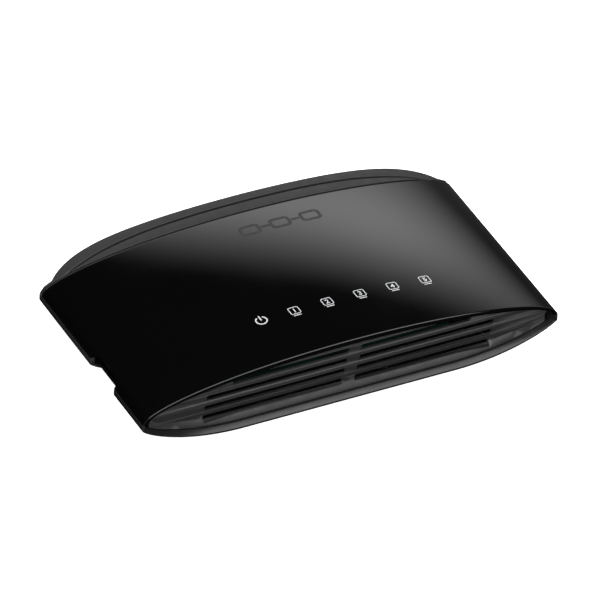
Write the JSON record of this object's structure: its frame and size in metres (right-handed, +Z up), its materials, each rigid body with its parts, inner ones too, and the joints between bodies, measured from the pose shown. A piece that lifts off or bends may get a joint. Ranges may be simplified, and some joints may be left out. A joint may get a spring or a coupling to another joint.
{
  "type": "desktop network switch",
  "caption": "Compact desktop network switch with an arched gloss cover, a louvred front, indicator signs and rear sockets",
  "frame": {"origin": "on the standing surface, below the middle of the bounding box", "axes": "+X to the right seen from the front, -Y to the front grille, +Z up"},
  "size_m": [0.171, 0.0978, 0.029],
  "materials": {
    "cover_gloss": "piano-black gloss with faint moulding waviness",
    "case_matte": "fine moulded texture, dark grey-black",
    "tray_satin": "satin black, slightly worn at its edges",
    "solder_mask": "green solder mask with copper tracks",
    "jack_shield": "tinned sheet",
    "contact_gold": "gold-plated",
    "jack_plastic": "black moulding",
    "chip_epoxy": "fine epoxy",
    "heatsink_fins": "black anodised",
    "capacitor_sleeve": "shrink sleeve",
    "led_body": "diffused resin",
    "clear_acrylic": "clear light pipe",
    "foot_rubber": "soft black rubber",
    "zinc_steel": "zinc-plated"
  },
  "bodies": {
    "root": {"top_cover": "cover_gloss", "inner_housing": "case_matte", "rear_trim_band": "case_matte", "bottom_tray": "tray_satin", "front_grille": "case_matte", "rear_panel": "case_matte", "lock_recess": "tray_satin", "circuit_board": "solder_mask", "port_jack_1": "jack_shield", "port_contacts_1": "contact_gold", "port_jack_2": "jack_shield", "port_contacts_2": "contact_gold", "port_jack_3": "jack_shield", "port_contacts_3": "contact_gold", "port_jack_4": "jack_shield", "port_contacts_4": "contact_gold", "port_jack_5": "jack_shield", "port_contacts_5": "contact_gold", "dc_inlet": "jack_plastic", "dc_pin": "jack_shield", "switch_chip": "chip_epoxy", "heatsink": "heatsink_fins", "line_transformer_1": "chip_epoxy", "capacitor_1": "capacitor_sleeve", "line_transformer_2": "chip_epoxy", "capacitor_2": "capacitor_sleeve", "line_transformer_3": "chip_epoxy", "capacitor_3": "capacitor_sleeve", "clock_crystal": "jack_shield", "power_inductor": "chip_epoxy", "led_power": "led_body", "light_pipe_power": "clear_acrylic", "led_1": "led_body", "light_pipe_1": "clear_acrylic", "led_2": "led_body", "light_pipe_2": "clear_acrylic", "led_3": "led_body", "light_pipe_3": "clear_acrylic", "led_4": "led_body", "light_pipe_4": "clear_acrylic", "led_5": "led_body", "light_pipe_5": "clear_acrylic", "rubber_foot_1": "foot_rubber", "case_screw_1": "zinc_steel", "board_screw_1": "zinc_steel", "rubber_foot_2": "foot_rubber", "case_screw_2": "zinc_steel", "board_screw_2": "zinc_steel", "rubber_foot_3": "foot_rubber", "case_screw_3": "zinc_steel", "board_screw_3": "zinc_steel", "rubber_foot_4": "foot_rubber", "case_screw_4": "zinc_steel", "board_screw_4": "zinc_steel"}
  },
  "joints": []
}
